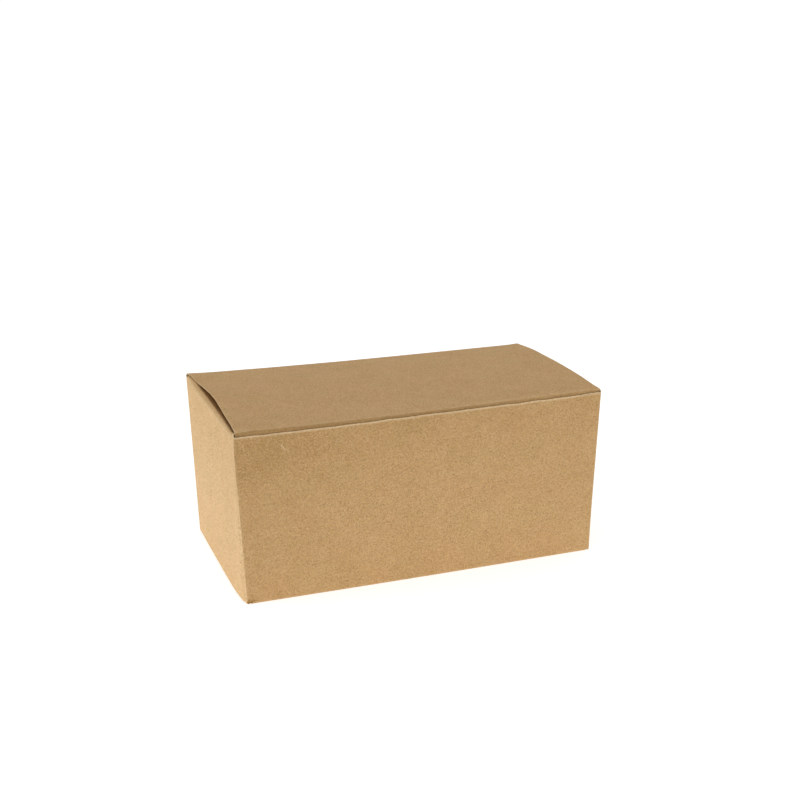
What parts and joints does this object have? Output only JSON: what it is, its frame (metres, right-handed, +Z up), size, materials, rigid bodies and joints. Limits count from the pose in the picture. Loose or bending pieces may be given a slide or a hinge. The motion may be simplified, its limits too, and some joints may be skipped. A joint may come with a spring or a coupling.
{
  "type": "tuck-top folding carton",
  "caption": "Oblong kraft board carton with slightly tapered ends, a hinged lid that tucks behind the front wall, folding dust flaps and a tucked bottom.",
  "frame": {"origin": "centre of the box's footprint, on the underside of the bottom panel", "axes": "+X along the length, from the left end to the right end; +Y from the front wall, where the lid tucks in, to the rear wall, where it hinges; +Z up"},
  "size_m": [0.19, 0.099, 0.0904],
  "materials": {
    "kraft_board": "matte"
  },
  "bodies": {
    "carton": {"front_panel": "kraft_board", "rear_panel": "kraft_board", "left_end_panel": "kraft_board", "right_end_panel": "kraft_board", "glue_flap": "kraft_board"},
    "lid": {"lid_panel": "kraft_board"},
    "lid_tuck": {"lid_tuck_flap": "kraft_board"},
    "left_dust": {"left_dust_flap": "kraft_board"},
    "right_dust": {"right_dust_flap": "kraft_board"},
    "bottom": {"bottom_panel": "kraft_board"},
    "bottom_tuck": {"bottom_tuck_flap": "kraft_board"},
    "bottom_left_dust": {"bottom_left_dust_flap": "kraft_board"},
    "bottom_right_dust": {"bottom_right_dust_flap": "kraft_board"}
  },
  "joints": [
    {"name": "lid_crease", "type": "hinge", "parent": "carton", "child": "lid", "pos_m": [0, 0.0495, 0.086], "axis": [-1, 0, 0], "range_deg": [0, 175]},
    {"name": "lid_tuck_crease", "type": "hinge", "parent": "lid", "child": "lid_tuck", "pos_m": [0, -0.04875, 0.0867], "axis": [-1, 0, 0], "range_deg": [0, 90]},
    {"name": "left_dust_crease", "type": "hinge", "parent": "carton", "child": "left_dust", "pos_m": [-0.09497, 0, 0.0852], "axis": [0, -1, 0], "range_deg": [0, 90]},
    {"name": "right_dust_crease", "type": "hinge", "parent": "carton", "child": "right_dust", "pos_m": [0.09497, 0, 0.0852], "axis": [0, 1, 0], "range_deg": [0, 90]},
    {"name": "bottom_crease", "type": "hinge", "parent": "carton", "child": "bottom", "pos_m": [0, -0.0495, 0], "axis": [-1, 0, 0], "range_deg": [0, 175]},
    {"name": "bottom_tuck_crease", "type": "hinge", "parent": "bottom", "child": "bottom_tuck", "pos_m": [0, 0.04875, 0], "axis": [-1, 0, 0], "range_deg": [0, 90]},
    {"name": "bottom_left_dust_crease", "type": "hinge", "parent": "carton", "child": "bottom_left_dust", "pos_m": [-0.09133, 0, 0.0008], "axis": [0, 1, 0], "range_deg": [0, 90]},
    {"name": "bottom_right_dust_crease", "type": "hinge", "parent": "carton", "child": "bottom_right_dust", "pos_m": [0.09133, 0, 0.0008], "axis": [0, -1, 0], "range_deg": [0, 90]}
  ],
  "couplings": [
    {"joint": "lid_tuck_crease", "follows": "lid_crease", "ratio": 0.5},
    {"joint": "left_dust_crease", "follows": "lid_crease", "ratio": 0.5},
    {"joint": "right_dust_crease", "follows": "lid_crease", "ratio": 0.5},
    {"joint": "bottom_tuck_crease", "follows": "bottom_crease", "ratio": 0.5},
    {"joint": "bottom_left_dust_crease", "follows": "bottom_crease", "ratio": 0.45},
    {"joint": "bottom_right_dust_crease", "follows": "bottom_crease", "ratio": 0.45}
  ]
}
